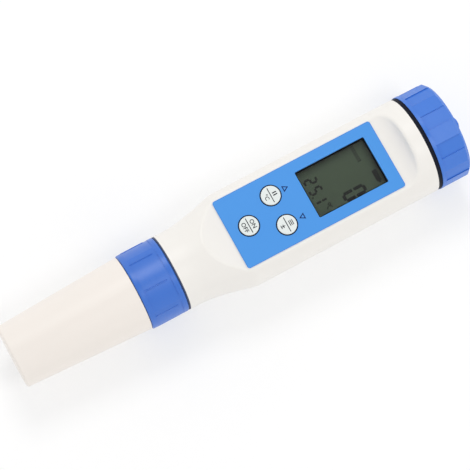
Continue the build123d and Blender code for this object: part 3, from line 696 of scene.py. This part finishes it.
def thread(name, body, material, x_start, x_end, radius, rise, phase=0.0):
    """Right-handed helical ridge about the pen's axis, rising outwards or inwards from a radius."""
    turns = (x_end - x_start) / THREAD_PITCH
    count = ceil(turns * THREAD_STEPS)
    points = []
    for index in range(count + 1):
        turn = turns * index / count
        fade = min(1.0, turn / THREAD_FADE, (turns - turn) / THREAD_FADE)
        x = x_start + turn * THREAD_PITCH
        angle = 2 * pi * x / THREAD_PITCH + phase
        foot = radius - rise * THREAD_SINK
        top = radius + rise * fade
        flanks = ((-THREAD_ROOT, foot), (-THREAD_CREST, top), (THREAD_CREST, top), (THREAD_ROOT, foot))
        for width, reach in flanks:
            points.append((x + width / 2, reach * cos(angle), pen_axis_height + reach * sin(angle)))
    faces = [(0, 1, 2, 3), tuple(4 * count + corner for corner in (3, 2, 1, 0))]
    for index in range(count):
        here = 4 * index
        after = here + 4
        for corner in range(4):
            beside = (corner + 1) % 4
            faces.append((here + corner, after + corner, after + beside, here + beside))
    mesh = bpy.data.meshes.new(name)
    mesh.from_pydata(points, [], faces)
    tidy = bmesh.new()
    tidy.from_mesh(mesh)
    bmesh.ops.recalc_face_normals(tidy, faces=tidy.faces)
    tidy.to_mesh(mesh)
    tidy.free()
    new_piece(name, mesh, body, material)


nose_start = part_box("housing")[0][0] + THREAD_INSET
nose_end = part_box("neck_seal")[0][0] - THREAD_INSET
rear_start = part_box("battery_seal")[1][0] + THREAD_INSET
rear_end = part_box("housing")[1][0] - THREAD_INSET
thread(
    "nose_thread", "housing", NODE_LOOKS["housing"],
    nose_start, nose_end, NOSE_RADIUS, THREAD_RISE,
)
thread(
    "rear_thread", "housing", NODE_LOOKS["housing"],
    rear_start, rear_end, REAR_RADIUS, THREAD_RISE,
)
thread(
    "collar_thread", "collar", NODE_LOOKS["electrode_collar"],
    nose_start, nose_end, NOSE_RADIUS + THREAD_ROOM, -THREAD_RISE, pi,
)
thread(
    "cap_thread", "battery_cap", NODE_LOOKS["battery_cap"],
    rear_start, rear_end, REAR_RADIUS + THREAD_ROOM, -THREAD_RISE, pi,
)


# Fine raised lines along the collar
LINE_COUNT = 8
LINE_PHASE = 15.0
LINE_FOOT = 14.55 * MM
LINE_TOP = 15.1 * MM
LINE_WIDTH = 0.55 * MM
LINE_CREST = 0.16 * MM
LINE_INSET = 1.6 * MM
LINE_REAR_INSET = 3.4 * MM
LINE_END = 0.5 * MM


def collar_lines():
    """Tapered ridges that stand on the collar's flutes."""
    low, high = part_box("electrode_collar")
    x_start = low[0] + LINE_INSET
    x_end = high[0] - LINE_REAR_INSET
    stations = (
        (x_start, LINE_FOOT),
        (x_start + LINE_END, LINE_TOP),
        (x_end - LINE_END, LINE_TOP),
        (x_end, LINE_FOOT),
    )
    axis_point = Vector((0, 0, pen_axis_height))
    points = []
    faces = []
    for index in range(LINE_COUNT):
        angle = radians(LINE_PHASE + index * 360 / LINE_COUNT)
        out = Vector((0, cos(angle), sin(angle)))
        side = Vector((0, -sin(angle), cos(angle)))
        start = len(points)
        for x, reach in stations:
            profile = (
                (-LINE_WIDTH / 2, LINE_FOOT),
                (-LINE_CREST / 2, reach),
                (LINE_CREST / 2, reach),
                (LINE_WIDTH / 2, LINE_FOOT),
            )
            for offset, radius in profile:
                point = axis_point + out * radius + side * offset
                points.append((x, point.y, point.z))
        last = start + 4 * (len(stations) - 1)
        faces += [(start + 3, start + 2, start + 1, start), (last, last + 1, last + 2, last + 3)]
        for step in range(len(stations) - 1):
            here = start + 4 * step
            for corner in range(4):
                beside = (corner + 1) % 4
                faces.append((here + corner, here + beside, here + 4 + beside, here + 4 + corner))
    mesh = bpy.data.meshes.new("collar_lines")
    mesh.from_pydata(points, [], faces)
    new_piece("collar_lines", mesh, "collar", NODE_LOOKS["electrode_collar"])


collar_lines()


# Studio: floor, surroundings and lamps, in metres and watts
FLOOR_HALF = 4.0
FLOOR_WHITE = 0.96
FLOOR_LIFT = 0.5
SKY_TOP = 0.48
SKY_HORIZON = 1.3
LAMP_SIZE = 0.35
LAMPS = (
    ("key_light", (0.15, 0.58, 1.0), 3.0),
    ("fill_light", (0.3, -0.45, 1.1), 2.4),
)
LAMP_TARGET = (0, 0, 0.02)


def floor():
    """Pale floor, half lifted to white where the camera, gloss or glass shows it."""
    corners = [(x * FLOOR_HALF, y * FLOOR_HALF, 0) for x, y in ((-1, -1), (1, -1), (1, 1), (-1, 1))]
    mesh = bpy.data.meshes.new("floor")
    mesh.from_pydata(corners, [], [(0, 1, 2, 3)])
    plane = bpy.data.objects.new("floor", mesh)
    bpy.context.scene.collection.objects.link(plane)
    look = Look("floor_paint", (FLOOR_WHITE, FLOOR_WHITE, FLOOR_WHITE, 1.0), 0.9, specular=0.0)
    glow = look.node("ShaderNodeEmission")
    path = look.node("ShaderNodeLightPath")
    seen = look.math("ADD", path.outputs["Is Camera Ray"], path.outputs["Is Glossy Ray"])
    seen = look.math("MINIMUM", look.math("ADD", seen, path.outputs["Is Transmission Ray"]), 1.0)
    mixed = look.node("ShaderNodeMixShader")
    look.join(look.math("MULTIPLY", seen, FLOOR_LIFT), mixed.inputs[0])
    look.join(look.shader.outputs[0], mixed.inputs[1])
    look.join(glow.outputs[0], mixed.inputs[2])
    look.join(mixed.outputs[0], look.tree.nodes["Material Output"].inputs["Surface"])
    mesh.materials.append(look.material)


def area_light(name, place, power):
    """Square soft light that faces the pen."""
    lamp = bpy.data.lights.new(name, "AREA")
    lamp.shape = "SQUARE"
    lamp.size = LAMP_SIZE
    lamp.energy = power
    holder = bpy.data.objects.new(name, lamp)
    holder.location = place
    aim = Vector(LAMP_TARGET) - Vector(place)
    holder.rotation_euler = aim.to_track_quat("-Z", "Y").to_euler()
    bpy.context.scene.collection.objects.link(holder)


def world_light(top, horizon):
    """White surroundings that brighten from overhead to the horizon."""
    world = bpy.data.worlds.new("studio")
    world.use_nodes = True
    background = world.node_tree.nodes["Background"]
    background.inputs["Color"].default_value = (1.0, 1.0, 1.0, 1.0)
    tree = world.node_tree
    place = tree.nodes.new("ShaderNodeTexCoord")
    split = tree.nodes.new("ShaderNodeSeparateXYZ")
    rise = tree.nodes.new("ShaderNodeMapRange")
    rise.inputs["To Min"].default_value = horizon
    rise.inputs["To Max"].default_value = top
    tree.links.new(place.outputs["Generated"], split.inputs[0])
    tree.links.new(split.outputs["Z"], rise.inputs["Value"])
    tree.links.new(rise.outputs["Result"], background.inputs["Strength"])
    bpy.context.scene.world = world


def camera():
    """The photograph's view."""
    lens = bpy.data.cameras.new("camera")
    lens.lens = CAMERA_LENS
    lens.sensor_width = CAMERA_SENSOR
    lens.sensor_fit = "HORIZONTAL"
    lens.clip_start = 0.01
    lens.clip_end = 30.0
    holder = bpy.data.objects.new("camera", lens)
    up = CAMERA_BACK.cross(CAMERA_RIGHT).normalized()
    turn = Matrix((CAMERA_RIGHT.normalized(), up, CAMERA_BACK.normalized())).transposed()
    holder.matrix_world = Matrix.Translation(CAMERA_PLACE) @ turn.to_4x4()
    bpy.context.scene.collection.objects.link(holder)
    bpy.context.scene.camera = holder


floor()
world_light(SKY_TOP, SKY_HORIZON)
for lamp_name, lamp_place, lamp_power in LAMPS:
    area_light(lamp_name, lamp_place, lamp_power)
camera()
bpy.context.scene.view_settings.view_transform = "Standard"
